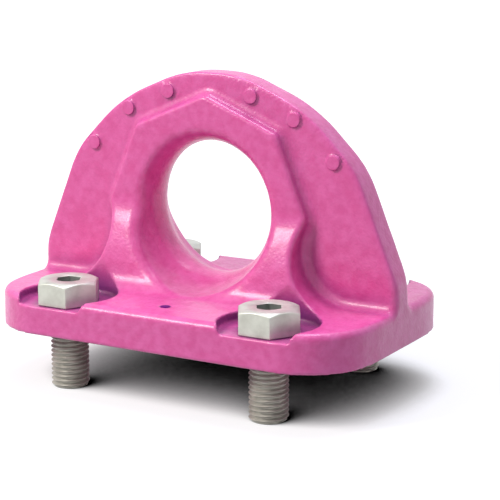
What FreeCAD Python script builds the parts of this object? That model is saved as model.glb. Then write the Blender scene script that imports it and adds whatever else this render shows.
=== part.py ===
import FreeCAD, Part
import math
import os
import sys

import Sketcher

# A bolt-on lifting and lashing eye. One drop forging makes the base plate, the arched
# flange that stands along it and the eye that two legs carry down to the plate. Four
# hexagon bolts sit in pockets at the corners, and a small identification plug is
# pressed into the front edge.
# Millimetres. X runs along the plate, Y across it and Z up. The origin is the middle
# of the underside, the face that bolts to the load.

DIMENSIONS = {
    # base plate
    "plate_length": 216.0,
    "plate_width": 139.0,
    "plate_thickness": 20.0,
    "plate_end_flat": 36.0,
    "plate_end_radius": 150.0,
    "plate_corner_radius": 36.0,
    # bolts: their places from the plate's edges, their seats and holes
    "bolt_from_end": 48.0,
    "bolt_from_side": 18.0,
    "wrench_clearance": 8.2,
    "seat_depth": 5.0,
    "seat_headroom": 60.0,
    "bolt_hole_clearance": 4.0,
    # arched flange: its crown by the eye's wall under it, its end by the heel's height
    # over the plate, and the two flats between by their share of the way from one to
    # the other
    "flange_thickness": 16.0,
    "flange_above_hub": 11.0,
    "heel_height": 12.4,
    "upper_flat_share": 0.047,
    "shoulder_flat_share": 0.412,
    "crown_bend_radius": 65.0,
    "shoulder_bend_radius": 90.0,
    "side_bend_radius": 55.0,
    "heel_bend_radius": 30.0,
    "rim_round": 4.0,
    "root_radius": 5.0,
    # eye: eight sides round the throat, standing out of both faces of the flange
    "throat_radius": 35.0,
    "throat_sill": 8.2,
    "hub_wall": 25.0,
    "hub_vertex_round": 6.0,
    "hub_step": 6.3,
    "hub_edge_round": 2.5,
    # legs: their side and front outlines
    "foot_side_radius": 27.0,
    "foot_front_radius": 11.0,
    "leg_belly_radius": 100.0,
    "leg_shoulder_radius": 20.0,
    "ankle_angle": 11.0,
    "shoulder_angle": 28.5,
    # lower half of the through hole, which opens towards both faces
    "throat_round": 20.0,
    "throat_flare_angle": 30.0,
    "mouth_rise": 1.2,
    "lip_round": 7.0,
    # raised wear pips, each at its share of the way from the flange's rim to the eye
    "pip_diameter": 7.5,
    "pip_height": 1.3,
    "pip_edge_round": 0.8,
    "crown_pip_share": 0.415,
    "shoulder_pip_share": 0.336,
    "side_pip_share": 0.304,
    # identification plug
    "plug_diameter": 5.0,
    "plug_length": 4.0,
    "plug_clearance": 0.04,
    "plug_edge_chamfer": 0.3,
    "plug_from_side": 18.0,
    # hexagon bolts
    "bolt_diameter": 20.0,
    "bolt_length": 45.0,
    "tip_chamfer": 1.6,
    "head_flats": 30.0,
    "head_height": 12.5,
    "head_crown_diameter": 28.5,
    "head_crown_angle": 30.0,
    "socket_flats": 12.0,
    "socket_depth": 6.0,
}

# Sixteenth of a turn between one flat of the flange, or half side of the eye, and the
# next; the most of a flat that one bend may take; and how far a cut runs past a face.
FLAT_TURN = 22.5
BEND_SHARE = 0.49
OVERRUN = 5.0


class Size:
    """A length together with the sheet expression that gives it."""

    def __init__(self, value, text):
        self.value = value
        self.text = text

    def __add__(self, other):
        other = as_size(other)
        return Size(self.value + other.value, "(%s + %s)" % (self.text, other.text))

    def __sub__(self, other):
        other = as_size(other)
        return Size(self.value - other.value, "(%s - %s)" % (self.text, other.text))

    def __mul__(self, other):
        other = as_size(other)
        return Size(self.value * other.value, "(%s * %s)" % (self.text, other.text))

    def __truediv__(self, other):
        other = as_size(other)
        return Size(self.value / other.value, "(%s / %s)" % (self.text, other.text))

    def __neg__(self):
        return self * -1.0


def as_size(number):
    if isinstance(number, Size):
        return number
    return Size(float(number), "(%r)" % float(number))


def least(first, second):
    return Size(min(first.value, second.value), "min(%s; %s)" % (first.text, second.text))


def root_of(number):
    return Size(math.sqrt(number.value), "sqrt(%s)" % number.text)


def sine(angle):
    angle = as_size(angle)
    return Size(math.sin(math.radians(angle.value)), "sin(%s)" % angle.text)


def cosine(angle):
    angle = as_size(angle)
    return Size(math.cos(math.radians(angle.value)), "cos(%s)" % angle.text)


def tangent(angle):
    angle = as_size(angle)
    return Size(math.tan(math.radians(angle.value)), "tan(%s)" % angle.text)


def dim(name):
    return Size(DIMENSIONS[name], "dims.%s" % name)


def eye_height():
    """The eye's middle: its throat clears the plate by the height of the sill."""
    return dim("plate_thickness") + dim("throat_sill") + dim("throat_radius")


def hub_reach():
    """From the eye's middle to the corners of its eight sides."""
    return dim("throat_radius") + dim("hub_wall")


def hub_depth():
    """Half the thickness of the eye, measured from the middle of the flange."""
    return dim("flange_thickness") / 2 + dim("hub_step")


def flange_reaches():
    """Distance of each flat of the flange from the eye's middle, end to crown."""
    half_length = dim("plate_length") / 2
    crown = hub_reach() + dim("flange_above_hub")
    heel = dim("plate_thickness") + dim("heel_height") - eye_height()
    side = half_length * sine(3 * FLAT_TURN) + heel * cosine(3 * FLAT_TURN)
    upper = crown + (side - crown) * dim("upper_flat_share")
    shoulder = crown + (side - crown) * dim("shoulder_flat_share")
    return [half_length, side, shoulder, upper, crown]


document = FreeCAD.newDocument("LiftingEye")


def make_sheet():
    sheet = document.addObject("Spreadsheet::Sheet", "dims")
    sheet.Label = "dims"
    for row, (name, value) in enumerate(DIMENSIONS.items(), start=1):
        sheet.set("A%d" % row, name)
        sheet.set("B%d" % row, str(value))
        sheet.setAlias("B%d" % row, name)
    document.recompute()


def make_body(name):
    body = document.addObject("PartDesign::Body", name)
    body.Label = name
    return body


def new_sketch(body, name, role, height=None):
    """A sketch on one of the body's own origin planes, lifted along its normal."""
    sketch = body.newObject("Sketcher::SketchObject", name)
    plane = [item for item in body.Origin.OriginFeatures if item.Role == role][0]
    sketch.AttachmentSupport = [(plane, "")]
    sketch.MapMode = "FlatFace"
    if height is not None:
        sketch.setExpression("AttachmentOffset.Base.z", height.text)
    return sketch


def hold_point(sketch, curve, end, x, y):
    """Ties one end of a curve to its place from the sketch's origin."""
    if abs(x.value) < 1e-9:
        sketch.addConstraint(Sketcher.Constraint("PointOnObject", curve, end, -2))
    else:
        number = sketch.addConstraint(Sketcher.Constraint("DistanceX", -1, 1, curve, end, x.value))
        sketch.setExpression("Constraints[%d]" % number, x.text)
    if abs(y.value) < 1e-9:
        sketch.addConstraint(Sketcher.Constraint("PointOnObject", curve, end, -1))
    else:
        number = sketch.addConstraint(Sketcher.Constraint("DistanceY", -1, 1, curve, end, y.value))
        sketch.setExpression("Constraints[%d]" % number, y.text)


def draw_loop(sketch, steps):
    """A closed outline. Each step is the point it runs to, with a radius and the side
    of the centre, 1 for left and -1 for right, where it gets there along an arc."""
    curves = []
    for index, step in enumerate(steps):
        before = steps[index - 1]
        start = FreeCAD.Vector(before[0].value, before[1].value, 0)
        stop = FreeCAD.Vector(step[0].value, step[1].value, 0)
        if len(step) == 2:
            curve = sketch.addGeometry(Part.LineSegment(start, stop), False)
            ends = (1, 2)
        else:
            radius, side = step[2], step[3]
            chord = stop - start
            across = FreeCAD.Vector(-chord.y, chord.x, 0).normalize() * side
            rise = math.sqrt(max(radius.value ** 2 - chord.Length ** 2 / 4, 0))
            centre = (start + stop) * 0.5 + across * rise
            ends = (1, 2) if side > 0 else (2, 1)
            first, last = (start, stop) if side > 0 else (stop, start)
            turn_from = math.atan2(first.y - centre.y, first.x - centre.x)
            turn_to = math.atan2(last.y - centre.y, last.x - centre.x)
            if turn_to < turn_from:
                turn_to += 2 * math.pi
            circle = Part.Circle(centre, FreeCAD.Vector(0, 0, 1), radius.value)
            curve = sketch.addGeometry(Part.ArcOfCircle(circle, turn_from, turn_to), False)
        curves.append((curve, ends))
    for index, (curve, ends) in enumerate(curves):
        previous, previous_ends = curves[index - 1]
        sketch.addConstraint(Sketcher.Constraint("Coincident", previous, previous_ends[1], curve, ends[0]))
    for (curve, ends), step in zip(curves, steps):
        hold_point(sketch, curve, ends[1], step[0], step[1])
        if len(step) > 2:
            number = sketch.addConstraint(Sketcher.Constraint("Radius", curve, step[2].value))
            sketch.setExpression("Constraints[%d]" % number, step[2].text)


def draw_circle(sketch, x, y, radius):
    centre = FreeCAD.Vector(x.value, y.value, 0)
    circle = sketch.addGeometry(Part.Circle(centre, FreeCAD.Vector(0, 0, 1), radius.value), False)
    hold_point(sketch, circle, 3, x, y)
    number = sketch.addConstraint(Sketcher.Constraint("Radius", circle, radius.value))
    sketch.setExpression("Constraints[%d]" % number, radius.text)


def extrude(body, kind, name, sketch, length, both_ways=False, reverse=False):
    """A Pad or a Pocket, its whole length measured across the sketch when both ways."""
    feature = body.newObject("PartDesign::%s" % kind, name)
    feature.Profile = sketch
    feature.Reversed = reverse
    if both_ways:
        feature.SideType = "Symmetric"
    feature.setExpression("Length", length.text)
    document.recompute()
    return feature


def turn(body, kind, name, sketch, angle=360.0, reverse=False):
    """A Revolution or a Groove about the sketch's vertical axis."""
    feature = body.newObject("PartDesign::%s" % kind, name)
    feature.Profile = sketch
    feature.ReferenceAxis = (sketch, ["V_Axis"])
    feature.Angle = angle
    feature.Reversed = reverse
    document.recompute()
    return feature


def middle_of(edge):
    return edge.valueAt((edge.FirstParameter + edge.LastParameter) / 2)


def dress_edges(body, kind, name, base, measure, size, wanted):
    """A Fillet or a Chamfer on the edges of base that wanted(edge, middle) accepts."""
    names = [
        "Edge%d" % (index + 1)
        for index, edge in enumerate(base.Shape.Edges)
        if wanted(edge, middle_of(edge))
    ]
    if not names:
        sys.exit("no edge found for %s" % name)
    feature = body.newObject("PartDesign::%s" % kind, name)
    feature.Base = (base, names)
    feature.setExpression(measure, size.text)
    document.recompute()
    return feature


def round_edges(body, name, base, radius, wanted):
    return dress_edges(body, "Fillet", name, base, "Radius", radius, wanted)


def bevel_edges(body, name, base, size, wanted):
    return dress_edges(body, "Chamfer", name, base, "Size", size, wanted)


def near(first, second, slack=0.01):
    return abs(first - second) < slack


def add_plate(body):
    """Base plate: straight long edges, slightly bowed ends that are flat in the middle."""
    half_length = dim("plate_length") / 2
    half_width = dim("plate_width") / 2
    flat = dim("plate_end_flat") / 2
    radius = dim("plate_end_radius")
    fall = half_width - flat
    shoulder = half_length - radius + root_of(radius * radius - fall * fall)
    sketch = new_sketch(body, "PlateOutline", "XY_Plane")
    draw_loop(sketch, [
        (half_length, flat),
        (shoulder, half_width, radius, 1),
        (-shoulder, half_width),
        (-half_length, flat, radius, 1),
        (-half_length, -flat),
        (-shoulder, -half_width, radius, 1),
        (shoulder, -half_width),
        (half_length, -flat, radius, 1),
    ])
    plate = extrude(body, "Pad", "Plate", sketch, dim("plate_thickness"))
    return round_edges(
        body, "PlateCorners", plate, dim("plate_corner_radius"),
        lambda edge, middle: near(abs(middle.x), shoulder.value)
        and near(abs(middle.y), half_width.value)
        and near(middle.z, dim("plate_thickness").value / 2, 1.0),
    )


def foot_radius():
    """Round of the feet's sides, where it leaves room for the eye's corner over it."""
    corner = dim("hub_vertex_round") * tangent(FLAT_TURN)
    wall = dim("throat_sill") + dim("throat_radius") - corner
    return least(dim("foot_side_radius"), wall / (as_size(1) + sine(FLAT_TURN)))


def eye_steps():
    """Front outline of the eye from its right leg over the top to its left leg, with the
    half width of the feet and of the ankles."""
    top = dim("plate_thickness")
    centre = eye_height()
    reach = hub_reach()
    foot = foot_radius()
    diagonal = reach * cosine(2 * FLAT_TURN)
    lean = cosine(FLAT_TURN)
    drop = sine(FLAT_TURN)
    toe = reach + (foot + (top + foot - centre) * drop) / lean
    ankle_drop = top + foot - ankle_height()
    ankle = toe - root_of(foot * foot - ankle_drop * ankle_drop)
    waist = toe - foot * lean
    waist_height = top + foot + foot * drop
    over = [
        (waist, waist_height, foot, -1),
        (reach, centre),
        (diagonal, centre + diagonal),
        (as_size(0), centre + reach),
        (-diagonal, centre + diagonal),
        (-reach, centre),
        (-waist, waist_height),
    ]
    return over, toe, ankle


def ankle_height():
    """Height at which the foot's arc across the plate passes into the belly of the leg."""
    foot = dim("foot_front_radius")
    return dim("plate_thickness") + foot * (as_size(1) - sine(dim("ankle_angle")))


def leg_profile():
    """Half depths and heights of the leg where the arcs of its side outline meet."""
    belly = dim("leg_belly_radius")
    shoulder = dim("leg_shoulder_radius")
    low, high = dim("ankle_angle"), dim("shoulder_angle")
    depth = hub_depth()
    belly_top = ankle_height() + belly * (sine(high) - sine(low))
    shoulder_top = belly_top + shoulder * sine(high)
    belly_depth = depth + shoulder * (as_size(1) - cosine(high))
    ankle_depth = belly_depth + belly * (cosine(low) - cosine(high))
    toe_depth = ankle_depth + dim("foot_front_radius") * cosine(low)
    return depth, shoulder_top, belly_depth, belly_top, ankle_depth, toe_depth


def add_eye(body):
    """Eight-sided eye on two legs, rounded along its front and rear edges."""
    over, toe, ankle = eye_steps()
    centre = eye_height()
    ankle_z = ankle_height()
    depth, shoulder_top, belly_depth, belly_top, ankle_depth, toe_depth = leg_profile()
    crown = centre + hub_reach()
    outer = toe_depth + OVERRUN
    above = crown + OVERRUN

    outline = new_sketch(body, "EyeOutline", "XZ_Plane")
    foot = foot_radius()
    draw_loop(outline, [(-ankle, ankle_z, foot, -1), (ankle, ankle_z)] + over)
    eye = extrude(body, "Pad", "Eye", outline, ankle_depth * 2, both_ways=True)
    corners = [(step[0].value, step[1].value) for step in over[1:-1]]
    eye = round_edges(
        body, "EyeCorners", eye, dim("hub_vertex_round"),
        lambda edge, middle: near(middle.y, 0)
        and any(near(middle.x, x) and near(middle.z, z) for x, z in corners),
    )

    sides = new_sketch(body, "LegSides", "YZ_Plane")
    for side in (1, -1):
        draw_loop(sides, [
            (outer * side, above),
            (depth * side, above),
            (depth * side, shoulder_top),
            (belly_depth * side, belly_top, dim("leg_shoulder_radius"), side),
            (ankle_depth * side, ankle_z, dim("leg_belly_radius"), -side),
            (outer * side, ankle_z),
        ])
    eye = extrude(body, "Pocket", "LegFaces", sides, crown * 2, both_ways=True)
    eye = round_edges(
        body, "EyeFrontEdge", eye, dim("hub_edge_round"),
        lambda edge, middle: near(abs(middle.y), depth.value)
        and near(middle.x, 0) and middle.z > crown.value - dim("hub_vertex_round").value,
    )

    feet = new_sketch(body, "FootOutline", "XZ_Plane")
    top = dim("plate_thickness")
    draw_loop(feet, [
        (-toe, top / 2),
        (toe, top / 2),
        (toe, top),
        (ankle, ankle_z, foot, -1),
        (-ankle, ankle_z),
        (-toe, top, foot, -1),
    ])
    extrude(body, "Pad", "Feet", feet, toe_depth * 2, both_ways=True)
    fronts = new_sketch(body, "FootFaces", "YZ_Plane")
    for side in (1, -1):
        draw_loop(fronts, [
            (outer * side, ankle_z),
            (ankle_depth * side, ankle_z),
            (toe_depth * side, top, dim("foot_front_radius"), side),
            (outer * side, top),
        ])
    return extrude(body, "Pocket", "FootFronts", fronts, crown * 2, both_ways=True)


def add_flange(body):
    """Arched flange along the middle of the plate, its outline a run of flats and bends."""
    half_length = dim("plate_length") / 2
    centre = eye_height()
    leans = [number * FLAT_TURN for number in (4, 3, 2, 1, 0)]
    flats = list(zip(leans, flange_reaches()))
    radii = [
        dim("heel_bend_radius"),
        dim("side_bend_radius"),
        dim("shoulder_bend_radius"),
        dim("crown_bend_radius"),
    ]
    corners = []
    across = sine(FLAT_TURN)
    for (low, low_reach), (high, high_reach) in zip(flats, flats[1:]):
        x = (low_reach * cosine(high) - high_reach * cosine(low)) / across
        z = centre + (high_reach * sine(low) - low_reach * sine(high)) / across
        corners.append((x, z))
    lengths = [corners[0][1] - dim("plate_thickness")]
    for (x, z), (after_x, after_z), (lean, _) in zip(corners, corners[1:], flats[1:]):
        lengths.append((x - after_x) * cosine(lean) + (after_z - z) * sine(lean))
    lengths.append(corners[-1][0] * 2)
    bends = []
    for number, ((x, z), radius) in enumerate(zip(corners, radii)):
        low, high = flats[number][0], flats[number + 1][0]
        half_turn = tangent(FLAT_TURN / 2)
        wall = least(lengths[number], lengths[number + 1]) * BEND_SHARE
        radius = least(radius, wall / half_turn)
        run = radius * half_turn
        start = (x + run * cosine(low), z - run * sine(low))
        stop = (x - run * cosine(high), z + run * sine(high))
        bends.append((start, stop, radius))
    steps = [(-half_length, as_size(0)), (half_length, as_size(0))]
    for start, stop, radius in bends:
        steps += [start, stop + (radius, 1)]
    for start, stop, radius in reversed(bends):
        steps += [(-stop[0], stop[1]), (-start[0], start[1], radius, 1)]
    sketch = new_sketch(body, "FlangeOutline", "XZ_Plane")
    draw_loop(sketch, steps)
    return extrude(body, "Pad", "Flange", sketch, dim("flange_thickness"), both_ways=True)


def blend_forging(body, forging):
    """Root fillets round the flange, then one round along its rim and the plate's rim."""
    face = dim("flange_thickness").value / 2
    centre = eye_height().value
    top = dim("plate_thickness").value
    toe = eye_steps()[1].value
    crown = centre + flange_reaches()[-1].value
    forging = round_edges(
        body, "Roots", forging, dim("root_radius"),
        lambda edge, middle: near(abs(middle.y), face)
        and near(abs(edge.Vertexes[0].Y), face)
        and near(abs(edge.Vertexes[-1].Y), face)
        and middle.z < centre - 0.1
        and middle.z > top - 0.1
        and not (middle.z > top + 1 and abs(middle.x) > toe),
    )
    return round_edges(
        body, "Rims", forging, dim("rim_round"),
        lambda edge, middle: near(abs(middle.y), face) and near(middle.z, crown),
    )


def cut_eye(body):
    """Through hole that opens towards both faces, with one soft lip all round each."""
    throat = dim("throat_radius")
    centre = eye_height()
    bend = dim("throat_round")
    mouth = throat + dim("throat_sill") - dim("mouth_rise")
    lean = dim("throat_flare_angle")
    depth = hub_depth()
    outer = leg_profile()[5] + OVERRUN
    rise = bend * (as_size(1) - cosine(lean))
    back_bend = (mouth - throat - rise) / (as_size(1) - cosine(lean))
    flare_depth = bend * sine(lean)
    mouth_depth = flare_depth + back_bend * sine(lean)

    flare = new_sketch(body, "FlareProfile", "XY_Plane", centre)
    draw_loop(flare, [
        (as_size(0), -outer),
        (mouth, -outer),
        (mouth, -mouth_depth),
        (throat + rise, -flare_depth, back_bend, 1),
        (throat + rise, flare_depth, bend, -1),
        (mouth, mouth_depth, back_bend, 1),
        (mouth, outer),
        (as_size(0), outer),
    ])
    throat_cut = turn(body, "Groove", "Flare", flare)
    return round_edges(
        body, "Lips", throat_cut, dim("lip_round"),
        lambda edge, middle: near(abs(middle.y), depth.value)
        and middle.z > centre.value
        and math.hypot(middle.x, middle.z - centre.value) < mouth.value,
    )


def bolt_places():
    """Plan places of the bolts by their side of the plate."""
    across = dim("plate_length") / 2 - dim("bolt_from_end")
    along = dim("plate_width") / 2 - dim("bolt_from_side")
    return {
        "front_left": (-across, -along),
        "front_right": (across, -along),
        "rear_left": (-across, along),
        "rear_right": (across, along),
    }


def seat_height():
    return dim("plate_thickness") - dim("seat_depth")


def cut_seats(body):
    """Flat pockets that take the bolt heads, and the holes their shanks pass through."""
    pockets = new_sketch(body, "SeatCircles", "XY_Plane", seat_height())
    holes = new_sketch(body, "BoltHoles", "XY_Plane")
    hole = (dim("bolt_diameter") + dim("bolt_hole_clearance")) / 2
    seat = dim("head_flats") / math.sqrt(3) + dim("wrench_clearance")
    for x, y in bolt_places().values():
        draw_circle(pockets, x, y, seat)
        draw_circle(holes, x, y, hole)
    extrude(body, "Pocket", "Seats", pockets, dim("seat_headroom"), reverse=True)
    extrude(body, "Pocket", "Holes", holes, dim("plate_thickness"), reverse=True)
    plug = new_sketch(body, "PlugHoleCircle", "XY_Plane", plug_floor())
    radius = dim("plug_diameter") / 2 + dim("plug_clearance")
    draw_circle(plug, as_size(0), plug_place(), radius)
    return extrude(body, "Pocket", "PlugHole", plug, dim("plug_length") + OVERRUN, reverse=True)


def add_pips(body):
    """Raised studs that show how far the eye has worn, on both faces of the flange."""
    centre = eye_height()
    radius = dim("pip_diameter") / 2
    sketch = new_sketch(body, "PipCircles", "XZ_Plane")
    side, shoulder, upper = flange_reaches()[1:4]
    wall = hub_reach() * cosine(FLAT_TURN)
    rows = [
        (upper, dim("crown_pip_share"), 1),
        (shoulder, dim("shoulder_pip_share"), 2),
        (side, dim("side_pip_share"), 3),
    ]
    for rim, share, number in rows:
        reach = rim - (rim - wall) * share
        x = reach * sine(number * FLAT_TURN)
        z = centre + reach * cosine(number * FLAT_TURN)
        draw_circle(sketch, x, z, radius)
        draw_circle(sketch, -x, z, radius)
    whole = dim("flange_thickness") + dim("pip_height") * 2
    pips = extrude(body, "Pad", "Pips", sketch, whole, both_ways=True)
    return round_edges(
        body, "PipEdges", pips, dim("pip_edge_round"),
        lambda edge, middle: near(abs(middle.y), whole.value / 2)
        and middle.z > centre.value + dim("pip_diameter").value,
    )


def make_eye_plate():
    body = make_body("eye_plate")
    add_eye(body)
    add_plate(body)
    forging = add_flange(body)
    blend_forging(body, forging)
    cut_eye(body)
    cut_seats(body)
    body.Tip = add_pips(body)
    return body


def plug_place():
    """The plug's distance from the middle of the plate, towards its front edge."""
    return dim("plug_from_side") - dim("plate_width") / 2


def plug_floor():
    """Floor of the plug's hole, one clearance under the plug, which is flush on top."""
    return dim("plate_thickness") - dim("plug_length") - dim("plug_clearance")


def make_plug():
    body = make_body("id_tag_plug")
    base = dim("plate_thickness") - dim("plug_length")
    sketch = new_sketch(body, "PlugCircle", "XY_Plane", base)
    draw_circle(sketch, as_size(0), plug_place(), dim("plug_diameter") / 2)
    plug = extrude(body, "Pad", "Plug", sketch, dim("plug_length"))
    top = dim("plate_thickness").value
    body.Tip = bevel_edges(
        body, "PlugEdge", plug, dim("plug_edge_chamfer"),
        lambda edge, middle: near(middle.z, top),
    )
    return body


def make_bolt(place, x, y):
    """Hexagon bolt, standing where its seat is: shank, chamfered head and key socket."""
    body = make_body("bolt_" + place)
    seat = seat_height()
    radius = dim("bolt_diameter") / 2
    length = dim("bolt_length")
    head = dim("head_height")

    def hexagon_at(name, flats, height):
        reach = flats / math.sqrt(3)
        half = reach / 2
        sketch = new_sketch(body, name, "XY_Plane", height)
        draw_loop(sketch, [
            (x + reach, y),
            (x + half, y + flats / 2),
            (x - half, y + flats / 2),
            (x - reach, y),
            (x - half, y - flats / 2),
            (x + half, y - flats / 2),
        ])
        return sketch

    flats = dim("head_flats")
    extrude(body, "Pad", "Head", hexagon_at("HeadHexagon", flats, seat), head)

    shank = new_sketch(body, "ShankCircle", "XY_Plane", seat - length)
    draw_circle(shank, x, y, radius)
    shank = extrude(body, "Pad", "Shank", shank, length + head / 2)
    bottom = (seat - length).value
    bevel_edges(
        body, "TipChamfer", shank, dim("tip_chamfer"),
        lambda edge, middle: near(middle.z, bottom),
    )

    crown = new_sketch(body, "CrownProfile", "XZ_Plane")
    crown.setExpression("AttachmentOffset.Base.x", x.text)
    crown.setExpression("AttachmentOffset.Base.z", (-y).text)
    crown_radius = dim("head_crown_diameter") / 2
    rim = flats / math.sqrt(3) + OVERRUN
    top = seat + head
    fall = (rim - crown_radius) * tangent(dim("head_crown_angle"))
    draw_loop(crown, [
        (crown_radius, top),
        (rim, top - fall),
        (rim, top + OVERRUN),
        (crown_radius, top + OVERRUN),
    ])
    turn(body, "Groove", "Crown", crown)

    socket = hexagon_at("SocketHexagon", dim("socket_flats"), top - dim("socket_depth"))
    body.Tip = extrude(
        body, "Pocket", "Socket", socket, dim("socket_depth") + OVERRUN, reverse=True
    )
    return body


def export_parts(bodies):
    """Checks every feature and writes one STEP file for each body."""
    document.recompute()
    for item in document.Objects:
        if "Invalid" in item.State or "Error" in item.State:
            sys.exit("%s did not build" % item.Label)
    os.makedirs("parts", exist_ok=True)
    for body in bodies:
        if body.Shape.isNull() or not body.Shape.isValid() or len(body.Shape.Solids) != 1:
            sys.exit("%s is not one valid solid" % body.Label)
        print("%s %.1f mm3" % (body.Label, body.Shape.Volume))
        body.Shape.exportStep("parts/%s.step" % body.Label)


make_sheet()
pieces = [make_eye_plate()]
for place, (x, y) in bolt_places().items():
    pieces.append(make_bolt(place, x, y))
pieces.append(make_plug())
export_parts(pieces)
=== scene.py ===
"""A bolt-on lashing eye plate: one powder-coated forging, four hexagon bolts and a tag plug."""

import sys
import logging
import math
from dataclasses import dataclass, field
from enum import Enum

import bmesh
import bpy
from mathutils import Matrix, Vector


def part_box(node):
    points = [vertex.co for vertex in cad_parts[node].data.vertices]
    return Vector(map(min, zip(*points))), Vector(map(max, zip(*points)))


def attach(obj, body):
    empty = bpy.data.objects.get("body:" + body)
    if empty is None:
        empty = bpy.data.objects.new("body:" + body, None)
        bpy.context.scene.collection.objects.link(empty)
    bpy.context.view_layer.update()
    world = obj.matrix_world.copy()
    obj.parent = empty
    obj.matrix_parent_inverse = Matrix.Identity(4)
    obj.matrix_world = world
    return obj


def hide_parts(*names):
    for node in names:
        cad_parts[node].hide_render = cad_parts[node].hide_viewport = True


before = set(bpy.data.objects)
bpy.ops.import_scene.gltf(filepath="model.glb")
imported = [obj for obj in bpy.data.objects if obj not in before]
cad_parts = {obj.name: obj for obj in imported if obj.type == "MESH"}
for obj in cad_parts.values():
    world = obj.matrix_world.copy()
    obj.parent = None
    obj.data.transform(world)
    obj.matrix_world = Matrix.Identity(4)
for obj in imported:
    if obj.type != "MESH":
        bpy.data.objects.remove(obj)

logging.basicConfig(level=logging.INFO, format="%(name)s: %(message)s", stream=sys.stdout)
log = logging.getLogger("eye_plate")

Tree = bpy.types.NodeTree
Socket = bpy.types.NodeSocket
Outputs = bpy.types.NodeOutputs

MM = 0.001
HALF_FLANGE = 8.0 * MM
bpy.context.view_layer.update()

WHITE = "#FFFFFF"
RESIN_IOR = 1.5
# Nearly all that a noise node gives lies in this span.
NOISE_SPAN = (0.3, 0.7)
# The colour sockets of a Mix node: its two inputs and its output.
MIX_FIRST, MIX_SECOND, MIX_RESULT = 6, 7, 2
# A thread in shares of its pitch: end of the root and start of the crest, both from the middle
# of the root, and the depth between them.
ROOT_END, CREST_START, THREAD_DEPTH = 0.125, 0.4375, 0.6134


def linear(colour: str) -> tuple[float, float, float, float]:
    """Turns an sRGB hex colour into linear RGBA.

    Args:
        colour: six hex digits after a hash sign.

    Returns:
        Red, green, blue and an alpha of one, linear.
    """
    parts = [int(colour[place:place + 2], 16) / 255 for place in (1, 3, 5)]
    straight = [part / 12.92 if part <= 0.04045 else ((part + 0.055) / 1.055) ** 2.4
                for part in parts]
    return (*straight, 1.0)


def add_node(tree: Tree, kind: str, inputs: dict | None = None, **settings) -> bpy.types.Node:
    """Adds one node with its settings, its values and its links.

    Args:
        tree: the tree that gets the node.
        kind: the node's type name.
        inputs: socket name or number to a value, or to the output socket that feeds it.
        settings: the node's own properties.

    Returns:
        The new node.
    """
    node = tree.nodes.new(kind)
    for name, value in settings.items():
        setattr(node, name, value)
    for name, value in (inputs or {}).items():
        if isinstance(value, Socket):
            tree.links.new(value, node.inputs[name])
        else:
            node.inputs[name].default_value = value
    return node


def calc(tree: Tree, operation: str, *values) -> Socket:
    """Adds a Math node.

    Args:
        tree: the tree.
        operation: the node's operation.
        values: its numbers or the sockets that feed it.

    Returns:
        The result.
    """
    return add_node(tree, "ShaderNodeMath", dict(enumerate(values)), operation=operation).outputs[0]


def product(tree: Tree, *values) -> Socket:
    """Multiplies two or more numbers.

    Args:
        tree: the tree.
        values: the numbers or the sockets that give them.

    Returns:
        Their product.
    """
    answer = values[0]
    for value in values[1:]:
        answer = calc(tree, "MULTIPLY", answer, value)
    return answer


def all_of(tree: Tree, *tests: tuple[str, Socket, float]) -> Socket:
    """Joins the answers of several comparisons.

    Args:
        tree: the tree.
        tests: LESS_THAN or GREATER_THAN, the number and what it is compared with.

    Returns:
        One where all of them hold, else zero.
    """
    return product(tree, *(calc(tree, *test) for test in tests))


def distance(tree: Tree, first: Socket, second: Socket) -> Socket:
    """Distance of a point from an axis.

    Args:
        tree: the tree.
        first: one of its coordinates across the axis.
        second: the other.

    Returns:
        The distance.
    """
    squares = calc(tree, "ADD", product(tree, first, first), product(tree, second, second))
    return calc(tree, "SQRT", squares)


def mapped(tree: Tree, value: Socket, low: float, high: float,
           new_low: float, new_high: float) -> Socket:
    """Maps a range of numbers onto another, clamped.

    Args:
        tree: the tree.
        value: the number.
        low: the value that becomes new_low.
        high: the value that becomes new_high.
        new_low: start of the new range.
        new_high: end of the new range.

    Returns:
        The mapped number.
    """
    inputs = {"Value": value, "From Min": low, "From Max": high,
              "To Min": new_low, "To Max": new_high}
    return add_node(tree, "ShaderNodeMapRange", inputs).outputs["Result"]


def noise(tree: Tree, place: Socket, grain_mm: float, detail: float) -> Socket:
    """A noise whose blotches have a real size.

    Args:
        tree: the material's tree.
        place: object coordinates in metres.
        grain_mm: distance from one blotch to the next.
        detail: octaves of finer noise.

    Returns:
        The noise as a number from 0 to 1.
    """
    inputs = {"Vector": place, "Scale": 1 / (grain_mm * MM), "Detail": detail}
    return add_node(tree, "ShaderNodeTexNoise", inputs).outputs["Fac"]


def bump(tree: Tree, height: Socket, strength: float, depth: float,
         under: Socket | None = None) -> Socket:
    """Turns a height into a bumped normal.

    Args:
        tree: the material's tree.
        height: the height as a number from 0 to 1.
        strength: how much of the bump shows.
        depth: how high a height of one stands, in metres.
        under: the normal that it lies on, if not the surface's own.

    Returns:
        The normal.
    """
    inputs = {"Height": height, "Strength": strength, "Distance": depth}
    if under is not None:
        inputs["Normal"] = under
    return add_node(tree, "ShaderNodeBump", inputs).outputs["Normal"]


def ramp(tree: Tree, value: Socket, low: str, high: str,
         span: tuple[float, float] = (0.0, 1.0)) -> Socket:
    """Blends from one colour to another.

    Args:
        tree: the tree.
        value: the number that picks the blend.
        low: the first colour.
        high: the last colour.
        span: the numbers at which the blend starts and ends.

    Returns:
        The colour.
    """
    node = add_node(tree, "ShaderNodeValToRGB", {"Fac": value})
    for stop, place, colour in zip(node.color_ramp.elements, span, (low, high)):
        stop.position = place
        stop.color = linear(colour)
    return node.outputs["Color"]


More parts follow.
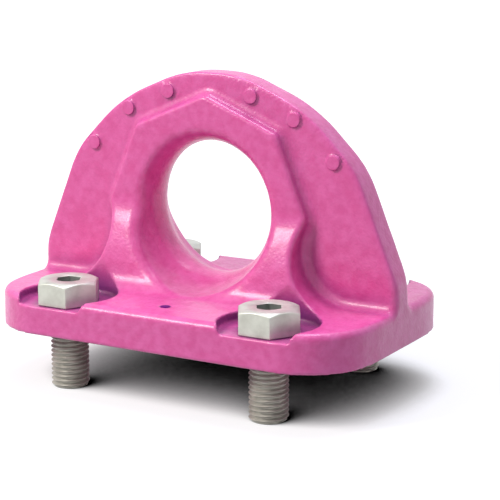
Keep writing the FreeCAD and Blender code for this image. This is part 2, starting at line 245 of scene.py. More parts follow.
def seen_directly(tree: Tree) -> Socket:
    """Tells the rays that show a surface from those that only light others.

    Args:
        tree: the tree of a material or the world.

    Returns:
        One for camera rays, mirror rays and rays through glass, else zero.
    """
    path = add_node(tree, "ShaderNodeLightPath").outputs
    seen = calc(tree, "MAXIMUM", path["Is Camera Ray"], path["Is Glossy Ray"])
    return calc(tree, "MAXIMUM", seen, path["Is Transmission Ray"])


def new_material(name: str) -> tuple[bpy.types.Material, Tree, Socket]:
    """Makes an empty material.

    Args:
        name: what the real finish is called.

    Returns:
        The material, its node tree and the object coordinates.
    """
    material = bpy.data.materials.new(name)
    material.use_nodes = True
    tree = material.node_tree
    tree.nodes.clear()
    place = add_node(tree, "ShaderNodeTexCoord").outputs["Object"]
    return material, tree, place


def finish_surface(tree: Tree, shader: Socket) -> None:
    """Sends a shader to the material's output.

    Args:
        tree: the material's tree.
        shader: the shader's output socket.
    """
    add_node(tree, "ShaderNodeOutputMaterial", {"Surface": shader})


def geometry_tree(name: str, inputs: dict[str, str]) -> tuple[Tree, Outputs]:
    """Makes a Geometry Nodes tree with its sockets.

    Args:
        name: the tree's name.
        inputs: input name to socket kind, such as Float or Material.

    Returns:
        The tree and what its group input gives.
    """
    tree = bpy.data.node_groups.new(name, "GeometryNodeTree")
    face = tree.interface
    face.new_socket("Geometry", in_out="INPUT", socket_type="NodeSocketGeometry")
    for label, kind in inputs.items():
        face.new_socket(label, in_out="INPUT", socket_type="NodeSocket" + kind)
    face.new_socket("Geometry", in_out="OUTPUT", socket_type="NodeSocketGeometry")
    return tree, add_node(tree, "NodeGroupInput").outputs


def close_tree(tree: Tree, geometry: Socket, *finishes: tuple[Socket, Socket | bool]) -> None:
    """Ends a tree with real geometry in its finishes.

    Args:
        tree: the tree.
        geometry: what it has made.
        finishes: each material with the faces that take it, the later over the earlier.
    """
    dressed = add_node(tree, "GeometryNodeRealizeInstances", {"Geometry": geometry}).outputs[0]
    for finish, faces in finishes:
        dressed = add_node(tree, "GeometryNodeSetMaterial", {
            "Geometry": dressed, "Selection": faces, "Material": finish}).outputs[0]
    add_node(tree, "NodeGroupOutput", {"Geometry": dressed})


def run_tree(piece: bpy.types.Object, tree: Tree, values: dict[str, object]) -> None:
    """Puts a tree on a piece and sets its inputs.

    Args:
        piece: the piece.
        tree: the tree.
        values: input name to its value.
    """
    modifier = piece.modifiers.new(tree.name, "NODES")
    modifier.node_group = tree
    for item in tree.interface.items_tree:
        if item.in_out == "INPUT" and item.name in values:
            modifier[item.identifier] = values[item.name]


def new_object(name: str, mesh: bpy.types.Mesh) -> bpy.types.Object:
    """Links a mesh to the scene as an object at the origin.

    Args:
        name: the piece's name.
        mesh: its mesh.

    Returns:
        The object.
    """
    piece = bpy.data.objects.new(name, mesh)
    bpy.context.scene.collection.objects.link(piece)
    return piece


def bake(piece: bpy.types.Object) -> None:
    """Turns a piece's modifiers into plain mesh.

    Args:
        piece: the piece with its modifiers.
    """
    graph = bpy.context.evaluated_depsgraph_get()
    mesh = bpy.data.meshes.new_from_object(piece.evaluated_get(graph))
    piece.modifiers.clear()
    piece.data = mesh


def settle(piece: bpy.types.Object, node: str | None) -> None:
    """Fixes a finished piece to the part.

    Args:
        piece: the piece, its place in its mesh.
        node: the solid that it stands for, if any.
    """
    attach(piece, "root")
    if node:
        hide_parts(node)
    low, high = (Vector(corner) for corner in (piece.bound_box[0], piece.bound_box[6]))
    size = (high - low) / MM
    faces = len(piece.data.polygons)
    log.info("%s: %d faces, %.1f x %.1f x %.1f mm", piece.name, faces, *size)


def turned(name: str, rings: list[list[tuple[float, float]]]) -> bpy.types.Mesh:
    """Builds a closed turned body round the Z axis.

    Args:
        name: the mesh's name.
        rings: for each ring the radius and height at each side, from one end to the other.

    Returns:
        The mesh, its normals outwards.
    """
    shape = bmesh.new()
    sides = len(rings[0])
    loops = []
    for ring in rings:
        loop = []
        for number, (reach, height) in enumerate(ring):
            angle = math.tau * number / sides
            loop.append(shape.verts.new((reach * math.cos(angle), reach * math.sin(angle), height)))
        loops.append(loop)
    for first, second in zip(loops, loops[1:]):
        for number in range(sides):
            after = (number + 1) % sides
            shape.faces.new((first[number], second[number], second[after], first[after]))
    for loop in (loops[0], loops[-1]):
        middle = shape.verts.new((0, 0, loop[0].co.z))
        for number in range(sides):
            shape.faces.new((middle, loop[number], loop[(number + 1) % sides]))
    bmesh.ops.recalc_face_normals(shape, faces=shape.faces)
    mesh = bpy.data.meshes.new(name)
    shape.to_mesh(mesh)
    shape.free()
    return mesh


@dataclass(frozen=True)
class PowderCoat:
    """Gloss powder coat, baked on a shot-blasted forging: level gloss over a fine orange peel.

    Its colour darkens in the forging's hollows, found by ambient occlusion: painted shade.

    Attributes:
        body, thin: its colour where it is thick and where it is thin.
        mottle_mm, mottle_span: size of the blotches of both and the noise they blend over.
        recess_shade_colour: the colour of the painted shade in hollows.
            recess_shade_reach, recess_shade_span, recess_shade_share: how far a hollow is looked
            for, the openness over which the painted shade fades, and the most that shows of it.
        peel_mm, peel_depth: grain and height of the orange peel.
        scale_mm, scale_depth: the same for what shows of the blasted steel below.
        gloss, gloss_roughness: the clear layer on top.
    """

    name: str = "baked_powder_coat"
    body: str = "#E24F9C"
    thin: str = "#EC63AD"
    mottle_mm: float = 5.0
    mottle_span: tuple[float, float] = (0.35, 0.65)
    recess_shade_colour: str = "#6C2472"
    recess_shade_reach: float = 15.0 * MM
    recess_shade_span: tuple[float, float] = (0.3, 0.93)
    recess_shade_share: float = 0.95
    peel_mm: float = 1.4
    peel_depth: float = 0.26 * MM
    scale_mm: float = 9.0
    scale_depth: float = 0.5 * MM
    roughness: tuple[float, float] = (0.36, 0.48)
    gloss: float = 0.5
    gloss_roughness: float = 0.24

    def material(self) -> bpy.types.Material:
        """Builds the coat.

        Returns:
            The material.
        """
        material, tree, place = new_material(self.name)
        blotches = noise(tree, place, self.mottle_mm, detail=3.0)
        even = ramp(tree, mapped(tree, blotches, *self.mottle_span, 0.0, 1.0), self.body, self.thin)
        # Painted shade: where ambient occlusion finds a hollow, the coat's colour is mixed towards
        # a dark purple.
        hollow = add_node(tree, "ShaderNodeAmbientOcclusion", {
            "Distance": self.recess_shade_reach}).outputs["AO"]
        painted_recess_shade = mapped(tree, hollow, *self.recess_shade_span, self.recess_shade_share, 0.0)
        colour = add_node(tree, "ShaderNodeMix", {
            "Factor": painted_recess_shade, MIX_FIRST: even, MIX_SECOND: linear(self.recess_shade_colour)},
            data_type="RGBA", blend_type="MIX").outputs[MIX_RESULT]
        peel = noise(tree, place, self.peel_mm, detail=1.0)
        scale = noise(tree, place, self.scale_mm, detail=2.0)
        forged = bump(tree, scale, strength=0.25, depth=self.scale_depth)
        shader = add_node(tree, "ShaderNodeBsdfPrincipled", {
            "Base Color": colour,
            "Roughness": mapped(tree, peel, *NOISE_SPAN, *self.roughness),
            "IOR": RESIN_IOR,
            "Coat Weight": self.gloss,
            "Coat Roughness": self.gloss_roughness,
            "Normal": bump(tree, peel, strength=0.8, depth=self.peel_depth, under=forged),
        })
        finish_surface(tree, shader.outputs["BSDF"])
        return material


@dataclass(frozen=True)
class ZincFlake:
    """Zinc flake baked on steel bolts: pale silver grey, matt, with a fine metallic grain.

    Attributes:
        patch_mm, patch_span: size of the lighter patches and the noise they blend over.
        grain_mm, grain_depth: size and height of the grain.
        smoother, rougher: how far the grain takes the roughness down and up.
    """

    name: str = "zinc_flake_steel"
    light: str = "#D2D4C8"
    dark: str = "#BFC0B4"
    patch_mm: float = 7.0
    patch_span: tuple[float, float] = (0.3, 0.6)
    grain_mm: float = 0.7
    grain_depth: float = 0.08 * MM
    metal: float = 0.5
    roughness: float = 0.42
    smoother: float = 0.06
    rougher: float = 0.08

    def material(self) -> bpy.types.Material:
        """Builds the coat.

        Returns:
            The material.
        """
        material, tree, place = new_material(self.name)
        grain = noise(tree, place, self.grain_mm, detail=2.0)
        patch = noise(tree, place, self.patch_mm, detail=3.0)
        span = (self.roughness - self.smoother, self.roughness + self.rougher)
        shader = add_node(tree, "ShaderNodeBsdfPrincipled", {
            "Base Color": ramp(tree, patch, self.dark, self.light, self.patch_span),
            "Metallic": self.metal,
            "Roughness": mapped(tree, grain, *NOISE_SPAN, *span),
            "Normal": bump(tree, grain, strength=0.35, depth=self.grain_depth),
        })
        finish_surface(tree, shader.outputs["BSDF"])
        return material


@dataclass(frozen=True)
class MouldedResin:
    """Potting resin of the tag: smooth, violet, nearly matt."""

    name: str = "violet_potting_resin"
    colour: str = "#660070"
    speck_mm: float = 0.8
    speck_depth: float = 0.03 * MM
    roughness: tuple[float, float] = (0.55, 0.70)
    shine: float = 0.15

    def material(self) -> bpy.types.Material:
        """Builds the resin.

        Returns:
            The material.
        """
        material, tree, place = new_material(self.name)
        speck = noise(tree, place, self.speck_mm, detail=2.0)
        shader = add_node(tree, "ShaderNodeBsdfPrincipled", {
            "Base Color": linear(self.colour),
            "Roughness": mapped(tree, speck, *NOISE_SPAN, *self.roughness),
            "IOR": RESIN_IOR,
            "Specular IOR Level": self.shine,
            "Normal": bump(tree, speck, strength=0.2, depth=self.speck_depth),
        })
        finish_surface(tree, shader.outputs["BSDF"])
        return material


@dataclass
class Forging:
    """The forging with its base plate, flange and eye, under its coat of paint.

    Attributes:
        weld: distance at which doubled points of the solid's mesh merge.
        voxel: mesh size of the even skin.
        relax, relax_rounds: how much it is smoothed before it is laid back on the solid.
        half_flange, rim, crisp_rim: half the flange's thickness and the radius of its rim, in
            the solid and on the finished skin.
        rim_slack, least_lean, face_slack: how near to the rim's fillet a point lies, and how
            clear of its two ends, to be moved.
        rim_reach: distance from the eye's middle beyond which the rim is trimmed.
        rim_fade, wave_fade: heights over which the trim and the waves set in.
        wave, wave_length: depth and size of the skin's slight waves.
    """

    node: str = "eye_plate"
    weld: float = 0.002 * MM
    voxel: float = 1.15 * MM
    relax: float = 0.5
    relax_rounds: int = 4
    half_flange: float = HALF_FLANGE
    rim: float = 4.0 * MM
    crisp_rim: float = 1.8 * MM
    rim_slack: float = 0.3 * MM
    rim_reach: float = 55.0 * MM
    rim_fade: tuple[float, float] = (28.0 * MM, 42.0 * MM)
    least_lean: float = 0.05
    face_slack: float = 0.1 * MM
    eye_height: float = 63.2 * MM
    wave: float = 0.16 * MM
    wave_length: float = 11.0 * MM
    wave_fade: tuple[float, float] = (1.0 * MM, 4.0 * MM)

    def rim_trim(self, tree: Tree, given: Outputs, where: Outputs, normal: Outputs) -> Socket:
        """Moves the points of the flange's round rim out to a crisper one.

        A point is on that rim where it lies as deep as a fillet of the rim's radius puts a
        point whose normal leans as much. Points near the eye and the plate stay.

        Args:
            tree: the tree.
            given: its inputs.
            where: the point's coordinates.
            normal: its normal's.

        Returns:
            How far each point moves.
        """
        lean = calc(tree, "ABSOLUTE", normal["Y"])
        depth = calc(tree, "ABSOLUTE", where["Y"])
        fillet = calc(tree, "ADD", calc(tree, "SUBTRACT", given["Half Flange"], given["Rim"]),
                      product(tree, given["Rim"], lean))
        off = calc(tree, "ABSOLUTE", calc(tree, "SUBTRACT", depth, fillet))
        up = calc(tree, "SUBTRACT", where["Z"], given["Eye Height"])
        below_face = calc(tree, "SUBTRACT", given["Half Flange"], self.face_slack)
        on_rim = all_of(
            tree, ("LESS_THAN", off, self.rim_slack), ("GREATER_THAN", lean, self.least_lean),
            ("LESS_THAN", depth, below_face),
            ("GREATER_THAN", distance(tree, where["X"], up), self.rim_reach))
        above = mapped(tree, where["Z"], *self.rim_fade, 0.0, 1.0)
        shift = product(tree, on_rim, above,
                        calc(tree, "SUBTRACT", given["Rim"], given["Crisp Rim"]))
        level = calc(tree, "SQRT", calc(tree, "SUBTRACT", 1.0, product(tree, lean, lean)))
        outward = calc(tree, "DIVIDE",
                       product(tree, shift, calc(tree, "SUBTRACT", 1.0, level)), level)
        across = product(tree, shift, calc(tree, "SUBTRACT", 1.0, lean),
                         calc(tree, "SIGN", where["Y"]))
        return add_node(tree, "ShaderNodeCombineXYZ", {
            "X": product(tree, outward, normal["X"]), "Y": across,
            "Z": product(tree, outward, normal["Z"])}).outputs[0]

    def waves(self, tree: Tree, given: Outputs, place: Socket, facing: Socket,
              height: Socket) -> Socket:
        """Sinks the skin a little, in slight waves that end above the plate's underside.

        Args:
            tree: the tree.
            given: its inputs.
            place: the point.
            facing: its normal.
            height: its height.

        Returns:
            How far each point moves.
        """
        grain = add_node(tree, "ShaderNodeTexNoise", {
            "Vector": place, "Scale": calc(tree, "DIVIDE", 1.0, given["Wave Length"]),
            "Detail": 2.0}).outputs[0]
        sink = product(tree, mapped(tree, grain, *NOISE_SPAN, 0.0, -1.0), given["Wave"],
                       mapped(tree, height, *self.wave_fade, 0.0, 1.0))
        return add_node(tree, "ShaderNodeVectorMath", {
            0: facing, "Scale": sink}, operation="SCALE").outputs[0]

    def skin_tree(self) -> Tree:
        """Trims the flange's rim to a crisper radius and gives the skin its slight waves.

        Returns:
            The node tree, with named inputs for its sizes.
        """
        tree, given = geometry_tree("forged_skin", {
            "Half Flange": "Float", "Rim": "Float", "Crisp Rim": "Float", "Eye Height": "Float",
            "Wave": "Float", "Wave Length": "Float", "Coat": "Material"})
        place = add_node(tree, "GeometryNodeInputPosition").outputs[0]
        facing = add_node(tree, "GeometryNodeInputNormal").outputs[0]
        where = add_node(tree, "ShaderNodeSeparateXYZ", {0: place}).outputs
        normal = add_node(tree, "ShaderNodeSeparateXYZ", {0: facing}).outputs
        trim = self.rim_trim(tree, given, where, normal)
        waves = self.waves(tree, given, place, facing, where["Z"])
        offset = add_node(tree, "ShaderNodeVectorMath", {0: trim, 1: waves}, operation="ADD")
        moved = add_node(tree, "GeometryNodeSetPosition", {
            "Geometry": given["Geometry"], "Offset": offset.outputs[0]})
        close_tree(tree, moved.outputs[0], (given["Coat"], True))
        return tree

    def surface(self, solid: bpy.types.Object) -> bpy.types.Mesh:
        """Copies the solid's mesh and merges its doubled points.

        Args:
            solid: the solid's object, which stays as it is.

        Returns:
            The copy, closed, its normals outwards.
        """
        mesh = solid.data.copy()
        mesh.materials.clear()
        skin = bmesh.new()
        skin.from_mesh(mesh)
        bmesh.ops.remove_doubles(skin, verts=skin.verts, dist=self.weld)
        bmesh.ops.recalc_face_normals(skin, faces=skin.faces)
        skin.to_mesh(mesh)
        skin.free()
        return mesh

    def build(self, finish: bpy.types.Material) -> None:
        """Makes an even skin of the solid's surface, lays it on the solid and finishes it.

        Args:
            finish: its coat.
        """
        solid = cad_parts[self.node]
        piece = new_object("forged_eye_plate", self.surface(solid))
        remesh = piece.modifiers.new("even_skin", "REMESH")
        remesh.mode = "VOXEL"
        remesh.voxel_size = self.voxel
        smooth = piece.modifiers.new("relax", "SMOOTH")
        smooth.factor = self.relax
        smooth.iterations = self.relax_rounds
        wrap = piece.modifiers.new("back_on_the_solid", "SHRINKWRAP")
        wrap.target = solid
        wrap.wrap_method = "NEAREST_SURFACEPOINT"
        run_tree(piece, self.skin_tree(), {
            "Half Flange": self.half_flange,
            "Rim": self.rim,
            "Crisp Rim": self.crisp_rim,
            "Eye Height": self.eye_height,
            "Wave": self.wave,
            "Wave Length": self.wave_length,
            "Coat": finish,
        })
        bake(piece)
        piece.data.shade_smooth()
        settle(piece, self.node)


@dataclass
class WearPips:
    """Raised studs on both faces of the flange that show how far the eye has worn.

    Attributes:
        places_mm: how far each stud is from the middle, and how high.
        face: the flange's face, from the middle plane.
        edge, root: radii at the stud's top and at its foot.
        sunk, skirt: how far the foot reaches into the face, and how near to it the root starts.
    """

    places_mm: tuple[tuple[float, float], ...] = ((24.85, 123.3), (49.8, 113.0), (72.2, 93.1))
    face: float = HALF_FLANGE
    radius: float = 3.8 * MM
    height: float = 1.4 * MM
    edge: float = 0.45 * MM
    root: float = 0.4 * MM
    sunk: float = 0.3 * MM
    skirt: float = 0.02 * MM
    steps: int = 4
    sides: int = 48

    def stud(self) -> bpy.types.Mesh:
        """Turns one stud, with a small root fillet and a rounded edge.

        Returns:
            The stud with its foot at the origin.
        """
        foot = self.radius + self.root
        turns = [math.radians(90 * step / self.steps) for step in range(self.steps + 1)]
        profile = [(foot, -self.sunk), (foot, -self.skirt)]
        for turn in turns[1:]:
            profile.append((self.radius + self.root * (1 - math.sin(turn)),
                            self.root * (1 - math.cos(turn))))
        for turn in turns:
            profile.append((self.radius - self.edge * (1 - math.cos(turn)),
                            self.height - self.edge * (1 - math.sin(turn))))
        profile.append((self.radius / 2, self.height))
        return turned("stud", [[point] * self.sides for point in profile])

    def build(self, finish: bpy.types.Material) -> None:
        """Sets a stud at each place, on both sides of the eye and on both faces.

        Args:
            finish: the forging's coat.
        """
        stud = new_object("stud", self.stud())
        tree, given = geometry_tree("set_studs", {"Stud": "Object", "Coat": "Material"})
        place = add_node(tree, "GeometryNodeInputPosition").outputs[0]
        where = add_node(tree, "ShaderNodeSeparateXYZ", {0: place}).outputs
        outward = add_node(tree, "ShaderNodeCombineXYZ", {
            "Y": calc(tree, "SIGN", where["Y"])}).outputs[0]
        turn = add_node(tree, "FunctionNodeAlignRotationToVector", {
            "Vector": outward}, axis="Z").outputs[0]
        form = add_node(tree, "GeometryNodeObjectInfo", {"Object": given["Stud"]})
        studs = add_node(tree, "GeometryNodeInstanceOnPoints", {
            "Points": given["Geometry"], "Instance": form.outputs["Geometry"],
            "Rotation": turn}).outputs[0]
        close_tree(tree, studs, (given["Coat"], True))
        mesh = bpy.data.meshes.new("pip_places")
        mesh.from_pydata([(side * x * MM, way * self.face, z * MM) for x, z in self.places_mm
                          for side in (-1, 1) for way in (-1, 1)], [], [])
        piece = new_object("wear_pips", mesh)
        run_tree(piece, tree, {"Stud": stud, "Coat": finish})
        bake(piece)
        bpy.data.objects.remove(stud)
        piece.data.shade_smooth()
        settle(piece, None)


@dataclass
class HexBolt:
    """One M20 bolt with a hexagon head, a key socket in it and a rolled thread.

    Attributes:
        flats, head: the head's size across flats and its height.
        crown, crown_slope, crown_drop: radius of its flat top, the chamfer round that, and the
            small step between them.
        corner, edge: radii of the hexagon's corners and of the head's edges.
        socket, socket_depth, socket_corner: the key socket across flats, its depth and corners.
        mouth_depth, mouth_lip, mouth_round: the chamfer at the socket's mouth.
        key_top: how far under the head's top the socket's painted shade ends.
        radius, length, tip, pitch: the shank, its chamfered tip and its thread.
        neck, plain: width of the ring round the shank on the seat, and length without thread.
        core: radius inside which no point is threaded.
        sides, row: points round the bolt, and height of a row of them on the shank.
        crease: angle from which an edge shows sharp.
    """

    flats: float = 30.0 * MM
    head: float = 12.5 * MM
    crown: float = 14.25 * MM
    crown_slope: float = math.radians(30)
    crown_drop: float = 0.07 * MM
    corner: float = 0.5 * MM
    edge: float = 0.4 * MM
    socket: float = 12.0 * MM
    socket_depth: float = 6.0 * MM
    socket_corner: float = 0.2 * MM
    mouth_depth: float = 0.3 * MM
    mouth_lip: float = 0.1 * MM
    mouth_round: float = 0.15 * MM
    key_top: float = 0.25 * MM
    radius: float = 10.0 * MM
    neck: float = 0.8 * MM
    plain: float = 0.6 * MM
    core: float = 6.0 * MM
    length: float = 45.0 * MM
    tip: float = 1.6 * MM
    pitch: float = 2.5 * MM
    sides: int = 96
    row: float = 0.25 * MM
    crease: float = math.radians(35)
    finish: ZincFlake = field(default_factory=ZincFlake)
    dark: ZincFlake = field(default_factory=lambda: ZincFlake(
        "oiled_thread_steel", "#BDBAB0", "#A5A298", roughness=0.5))
    # A darker steel inside the key socket: painted shade.
    socket_shade_finish: ZincFlake = field(default_factory=lambda: ZincFlake(
        "shaded_key_steel", "#969A94", "#7C807A", roughness=0.5))

    @property
    def mouth(self) -> float:
        """Radius of the socket's round mouth, just outside its corners."""
        return self.socket / math.sqrt(3) + self.mouth_lip

    @staticmethod
    def hexagon(angle: float, flats: float, corner: float) -> float:
        """Reach of a hexagon with rounded corners, one of them on the X axis.

        Args:
            angle: direction from the middle.
            flats: distance across flats.
            corner: radius of the corners.

        Returns:
            Distance from the middle to the outline.
        """
        half_side = math.pi / 6
        turn = (angle + half_side) % (2 * half_side) - half_side
        face = flats / 2 / math.cos(half_side - abs(turn))
        hub = (flats / 2 - corner) / math.cos(half_side)
        inside = corner ** 2 - (hub * math.sin(turn)) ** 2
        if inside <= 0:
            return face
        return min(face, hub * math.cos(turn) + math.sqrt(inside))

    def crown_height(self, reach: float) -> float:
        """Height of the head's chamfered top.

        Args:
            reach: distance from the axis.

        Returns:
            The height over the seat.
        """
        return self.head - max(0.0, reach - self.crown) * math.tan(self.crown_slope)

    def head_rings(self) -> list[list[tuple[float, float]]]:
        """Rings from the floor of the key socket over the crown to the seat.

        Returns:
            For each ring the radius and height at each side.
        """
        angles = [math.tau * number / self.sides for number in range(self.sides)]
        key = [self.hexagon(angle, self.socket, self.socket_corner) for angle in angles]
        outer = [self.hexagon(angle, self.flats, self.corner) for angle in angles]
        floor = self.head - self.socket_depth
        made = [
            [(reach / 2, floor) for reach in key],
            [(reach - self.edge, floor) for reach in key],
            [(reach, floor + self.edge) for reach in key],
            [(reach, self.head - self.mouth_depth) for reach in key],
        ]
        rounds = [
            (self.mouth, self.head - self.mouth_lip),
            (self.mouth + self.mouth_round, self.head),
            (self.crown - self.edge, self.head),
            (self.crown, self.head - self.crown_drop),
        ]
        made += [[point] * self.sides for point in rounds]
        for turn in (0, 45, 90):
            inset = self.edge * (1 - math.sin(math.radians(turn)))
            drop = self.edge * (1 - math.cos(math.radians(turn)))
            made.append([(reach - inset, self.crown_height(reach - inset) - drop)
                         for reach in outer])
        made.append([(reach, self.edge) for reach in outer])
        made.append([(reach - self.edge, 0.0) for reach in outer])
        return made

    def shank_rings(self) -> list[list[tuple[float, float]]]:
        """Rings of the plain shank from the seat to its chamfered tip, a row apart.

        Returns:
            For each ring the radius and height at each side.
        """
        body = self.length - self.tip
        points = [(self.radius + self.neck, 0.0)]
        for number in range(round(body / self.row) + 1):
            points.append((self.radius, -min(number * self.row, body)))
        for number in range(1, round(self.tip / self.row) + 1):
            part = min(number * self.row, self.tip)
            points.append((self.radius - part, -body - part))
        points.append(((self.radius - self.tip) / 2, -self.length))
        return [[point] * self.sides for point in points]

    def thread_tree(self) -> Tree:
        """Rolls a helical thread into every vertex of the plain shank.

        Returns:
            The node tree, with named inputs for its sizes, its finishes and the socket's painted
            shade.
        """
        tree, given = geometry_tree("rolled_thread", {
            "Major Radius": "Float", "Pitch": "Float", "Depth": "Float", "Key": "Float",
            "Finish": "Material", "Thread Finish": "Material", "Key Finish": "Material"})
        place = add_node(tree, "GeometryNodeInputPosition").outputs[0]
        where = add_node(tree, "ShaderNodeSeparateXYZ", {0: place}).outputs
        turn = calc(tree, "DIVIDE", calc(tree, "ARCTAN2", where["Y"], where["X"]), math.tau)
        rise = calc(tree, "DIVIDE", where["Z"], given["Pitch"])
        phase = calc(tree, "FRACT", calc(tree, "SUBTRACT", rise, turn))
        from_root = calc(tree, "ABSOLUTE", calc(tree, "SUBTRACT", phase, 0.5))
        share = mapped(tree, from_root, ROOT_END, CREST_START, 1.0, 0.0)
        cut = calc(tree, "SUBTRACT", given["Major Radius"], product(tree, share, given["Depth"]))
        reach = distance(tree, where["X"], where["Y"])
        ratio = calc(tree, "MINIMUM", calc(tree, "DIVIDE", cut, reach), 1.0)
        narrow = add_node(tree, "ShaderNodeCombineXYZ", {
            "X": ratio, "Y": ratio, "Z": 1.0}).outputs[0]
        moved = add_node(tree, "ShaderNodeVectorMath", {
            0: place, 1: narrow}, operation="MULTIPLY").outputs[0]
        threaded = calc(tree, "LESS_THAN", where["Z"], -self.plain)
        shank = product(tree, threaded, calc(tree, "GREATER_THAN", reach, self.core))
        # Points inside the key socket take the darker steel: painted shade.
        key = all_of(tree, ("LESS_THAN", reach, given["Key"]), ("GREATER_THAN", where["Z"], 0.0),
                     ("LESS_THAN", where["Z"], self.head - self.key_top))
        rolled = add_node(tree, "GeometryNodeSetPosition", {
            "Geometry": given["Geometry"], "Selection": shank, "Position": moved}).outputs[0]
        close_tree(tree, rolled, (given["Finish"], True), (given["Thread Finish"], threaded),
                   (given["Key Finish"], key))
        return tree

    def build(self) -> None:
        """Rolls the thread once and sets a bolt in each seat."""
        plain = turned("hex_bolt", self.head_rings() + self.shank_rings())
        pattern = new_object("bolt_pattern", plain)
        run_tree(pattern, self.thread_tree(), {
            "Major Radius": self.radius,
            "Pitch": self.pitch,
            "Depth": self.pitch * THREAD_DEPTH,
            "Key": self.mouth,
            "Finish": self.finish.material(),
            "Thread Finish": self.dark.material(),
            "Key Finish": self.socket_shade_finish.material(),
        })
        bake(pattern)
        for node in sorted(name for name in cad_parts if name.startswith("bolt_")):
            low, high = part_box(node)
            mesh = pattern.data.copy()
            seat = Vector(((low.x + high.x) / 2, (low.y + high.y) / 2, high.z - self.head))
            mesh.transform(Matrix.Translation(seat))
            mesh.shade_smooth()
            mesh.set_sharp_from_angle(angle=self.crease)
            settle(new_object("hex_" + node, mesh), node)
        bpy.data.objects.remove(pattern)


@dataclass
class TagPlug:
    """The identification plug: a shallow disc with a rounded edge and a slight dip on top.

    Attributes:
        edge, edge_middle: the edge's radius, and the share of it cut off at 45 degrees.
        dip: depth of the dip.
        crease: angle from which an edge shows sharp.
    """

    node: str = "id_tag_plug"
    edge: float = 0.3 * MM
    edge_middle: float = 0.3
    dip: float = 0.05 * MM
    sides: int = 48
    crease: float = math.radians(40)
    finish: MouldedResin = field(default_factory=MouldedResin)

    def build(self) -> None:
        """Turns the plug from its profile."""
        low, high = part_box(self.node)
        radius = (high.x - low.x) / 2
        height = high.z - low.z
        middle = self.edge * self.edge_middle
        profile = [
            (radius - self.edge, 0.0),
            (radius, self.edge),
            (radius, height - self.edge),
            (radius - middle, height - middle),
            (radius - self.edge, height),
            (radius / 2, height - self.dip),
        ]
        mesh = turned("tag_plug", [[point] * self.sides for point in profile])
        seat = Vector(((low.x + high.x) / 2, (low.y + high.y) / 2, low.z))
        mesh.transform(Matrix.Translation(seat))
        mesh.materials.append(self.finish.material())
        mesh.shade_smooth()
        mesh.set_sharp_from_angle(angle=self.crease)
        settle(new_object("tag_plug", mesh), self.node)


@dataclass(frozen=True)
class SoftBox:
    """A round soft lamp: where it hangs, its width in metres, its watts and what it aims at."""

    place: tuple[float, float, float]
    width: float
    watts: float
    colour: str
    target: tuple[float, float, float] = (0.0, 0.0, 0.05)


class Lamp(Enum):
    """The studio's lamps."""

    KEY = SoftBox((-0.62, -0.80, 0.90), 0.45, 12.0, "#FFFAF4")
    OVERHEAD = SoftBox((0.00, 0.20, 1.15), 0.50, 6.5, "#E6ECFF")


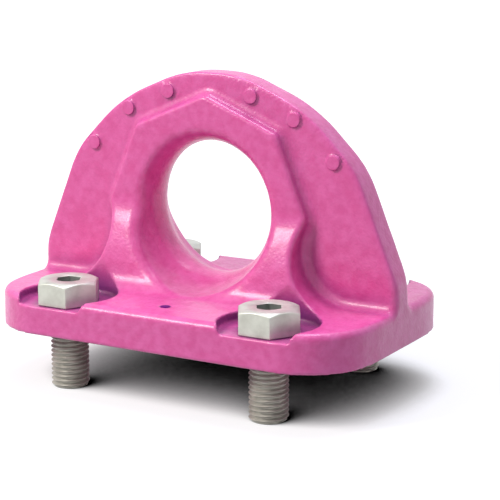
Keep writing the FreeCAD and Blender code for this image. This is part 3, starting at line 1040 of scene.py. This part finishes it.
@dataclass
class Studio:
    """White sweep, soft lamps and the camera of the photograph.

    Attributes:
        eye, target, lens, sensor: the camera.
        walls, ceiling, fill: colours and strength of the room's own light.
        floor, half: height of the floor and half its width.
        board, board_share: the floor's colour for others' light, and how much of the lamps'
            light it shows itself.
        shade_way, shade_reach, shade_samples, shade_span: where the floor looks for what shades
            it, how far, how finely, and the openness from full shade to none.
        glow_reach, glow: distances over which the floor brightens, and how bright it gets.
    """

    eye: tuple[float, float, float] = (0.43396, -0.71971, 0.21985)
    target: tuple[float, float, float] = (0.01969, 0.0, 0.04156)
    lens: float = 116.86
    sensor: float = 36.0
    nearest: float = 0.01
    walls: str = "#5E5A5A"
    ceiling: str = "#D8DCF0"
    fill: float = 0.9
    floor: float = -30.0 * MM
    half: float = 6.0
    board: str = "#A0A0A0"
    shade_way: tuple[float, float, float] = (-0.3, -0.5, 0.8)
    shade_reach: float = 0.11
    shade_samples: int = 48
    shade_span: tuple[float, float] = (0.25, 0.62)
    board_share: float = 0.4
    glow_reach: tuple[float, float] = (0.10, 0.9)
    glow: tuple[float, float] = (0.68, 1.0)

    @staticmethod
    def aim(thing: bpy.types.Object, place: tuple[float, float, float],
            target: tuple[float, float, float]) -> None:
        """Hangs a camera or a lamp and turns it to its target.

        Args:
            thing: the camera or the lamp.
            place: where it goes.
            target: what it looks at.
        """
        thing.location = place
        way = Vector(target) - Vector(place)
        thing.rotation_euler = way.to_track_quat("-Z", "Y").to_euler()
        bpy.context.scene.collection.objects.link(thing)

    def camera(self) -> None:
        """Places the camera where the photograph was taken."""
        data = bpy.data.cameras.new("camera")
        data.lens = self.lens
        data.sensor_width = self.sensor
        data.clip_start = self.nearest
        camera = bpy.data.objects.new("camera", data)
        self.aim(camera, self.eye, self.target)
        bpy.context.scene.camera = camera

    def lamps(self) -> None:
        """Hangs the soft boxes."""
        for lamp in Lamp:
            box = lamp.value
            data = bpy.data.lights.new(lamp.name.lower(), "AREA")
            data.shape = "DISK"
            data.size = box.width
            data.energy = box.watts
            data.color = linear(box.colour)[:3]
            self.aim(bpy.data.objects.new(lamp.name.lower(), data), box.place, box.target)

    def world(self) -> None:
        """A soft room, cool and bright overhead and dimmer at the walls, that looks white."""
        world = bpy.data.worlds.new("soft_room")
        bpy.context.scene.world = world
        world.use_nodes = True
        tree = world.node_tree
        tree.nodes.clear()
        way = add_node(tree, "ShaderNodeTexCoord").outputs["Generated"]
        rise = add_node(tree, "ShaderNodeSeparateXYZ", {0: way}).outputs["Z"]
        light = add_node(tree, "ShaderNodeBackground", {
            "Color": ramp(tree, rise, self.walls, self.ceiling), "Strength": self.fill})
        backdrop = add_node(tree, "ShaderNodeBackground", {
            "Color": linear(WHITE), "Strength": 1.0})
        room = add_node(tree, "ShaderNodeMixShader", {
            0: seen_directly(tree), 1: light.outputs[0], 2: backdrop.outputs[0]})
        add_node(tree, "ShaderNodeOutputWorld", {"Surface": room.outputs[0]})

    def white_board(self) -> bpy.types.Material:
        """Board that lights as grey and looks white, with the object's shadow painted on it from
        ambient occlusion.

        Returns:
            The material.
        """
        material, tree, place = new_material("matt_white_board")
        toward = add_node(tree, "ShaderNodeVectorMath", {
            0: self.shade_way}, operation="NORMALIZE").outputs[0]
        # Painted shadow: ambient occlusion looking along a tilted direction darkens the board's
        # seen white near the object.
        open_sky = add_node(tree, "ShaderNodeAmbientOcclusion", {
            "Distance": self.shade_reach, "Normal": toward},
            samples=self.shade_samples).outputs["AO"]
        clear = mapped(tree, open_sky, *self.shade_span, 0.0, 1.0)
        share = product(tree, clear, self.board_share)
        grey = add_node(tree, "ShaderNodeCombineColor", {
            "Red": share, "Green": share, "Blue": share}).outputs[0]
        shaded = add_node(tree, "ShaderNodeBsdfDiffuse", {"Color": grey})
        away = add_node(tree, "ShaderNodeVectorMath", {
            0: place}, operation="LENGTH").outputs["Value"]
        glow = product(tree, mapped(tree, away, *self.glow_reach, *self.glow), clear)
        lit = add_node(tree, "ShaderNodeEmission", {"Color": linear(WHITE), "Strength": glow})
        white = add_node(tree, "ShaderNodeAddShader", {0: shaded.outputs[0], 1: lit.outputs[0]})
        board = add_node(tree, "ShaderNodeBsdfDiffuse", {"Color": linear(self.board)})
        mix = add_node(tree, "ShaderNodeMixShader", {
            0: seen_directly(tree), 1: board.outputs[0], 2: white.outputs[0]})
        finish_surface(tree, mix.outputs[0])
        return material

    def sweep(self) -> None:
        """A white floor under the bolts' tips."""
        mesh = bpy.data.meshes.new("floor")
        corners = [(x * self.half, y * self.half, self.floor)
                   for x, y in ((-1, -1), (1, -1), (1, 1), (-1, 1))]
        mesh.from_pydata(corners, [], [(0, 1, 2, 3)])
        mesh.materials.append(self.white_board())
        floor = new_object("floor", mesh)

    def build(self) -> None:
        """Sets the studio up."""
        self.camera()
        self.lamps()
        self.world()
        self.sweep()
        bpy.context.scene.view_settings.view_transform = "Standard"


def main() -> None:
    """Builds every piece in order."""
    coat = PowderCoat().material()
    Forging().build(coat)
    WearPips().build(coat)
    HexBolt().build()
    TagPlug().build()
    Studio().build()


if __name__ == "__main__":
    main()
